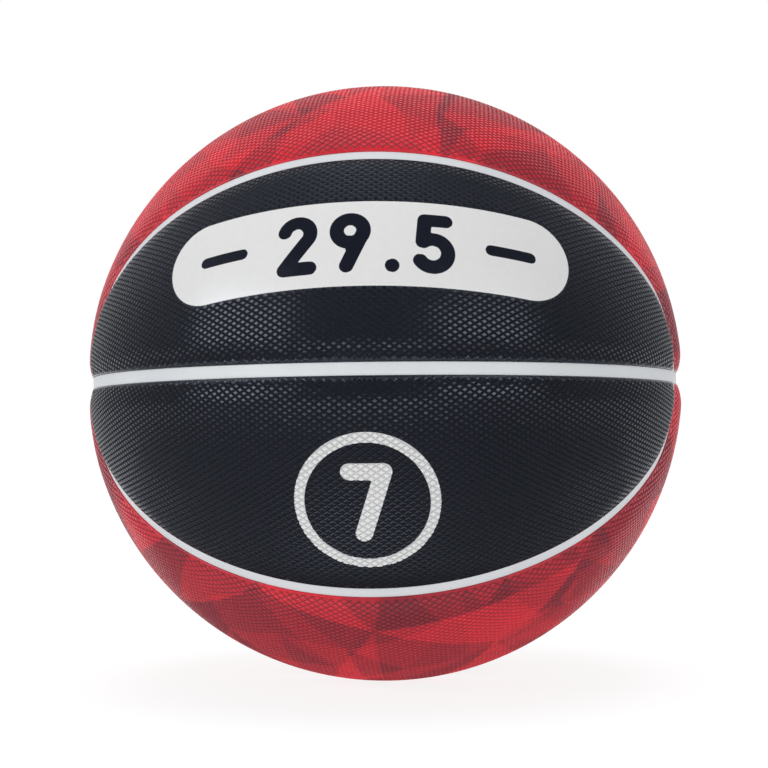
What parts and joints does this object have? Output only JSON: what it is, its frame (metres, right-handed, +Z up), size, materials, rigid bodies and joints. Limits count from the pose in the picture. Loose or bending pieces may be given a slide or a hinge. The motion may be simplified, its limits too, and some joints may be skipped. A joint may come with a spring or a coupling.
{
  "type": "basketball",
  "caption": "Layered rubber ball with padded pebbled cover panels, smooth recessed channel strips, an inner bladder and an inflation valve.",
  "frame": {"origin": "centre of the ball", "axes": "+Z up; the belt channel lies in the plane Z = 0; the front oval pair of panels faces -Y; the arch channel lies in the plane Y = 0"},
  "size_m": [0.2368, 0.2374, 0.2374],
  "materials": {
    "bladder_rubber": "matt black butyl",
    "winding_nylon": "wound undyed thread",
    "carcass_rubber": "matt black rubber",
    "valve_rubber": "matt black rubber",
    "plug_rubber": "matt black rubber",
    "oval_cover": "black pebbled grip with a soft sheen",
    "field_cover": "red pebbled grip with a soft sheen and tone-on-tone facets",
    "channel_rubber": "smooth white rubber"
  },
  "bodies": {
    "root": {"bladder": "bladder_rubber", "nylon_winding": "winding_nylon", "carcass": "carcass_rubber", "valve_boot": "valve_rubber", "valve_plug": "plug_rubber", "front_upper_oval_panel": "oval_cover", "front_lower_oval_panel": "oval_cover", "rear_upper_oval_panel": "oval_cover", "rear_lower_oval_panel": "oval_cover", "front_top_panel": "field_cover", "front_bottom_panel": "field_cover", "rear_top_panel": "field_cover", "rear_bottom_panel": "field_cover", "belt_strip": "channel_rubber", "top_strip": "channel_rubber", "bottom_strip": "channel_rubber", "front_upper_oval_strip": "channel_rubber", "front_lower_oval_strip": "channel_rubber", "rear_upper_oval_strip": "channel_rubber", "rear_lower_oval_strip": "channel_rubber"}
  },
  "joints": []
}
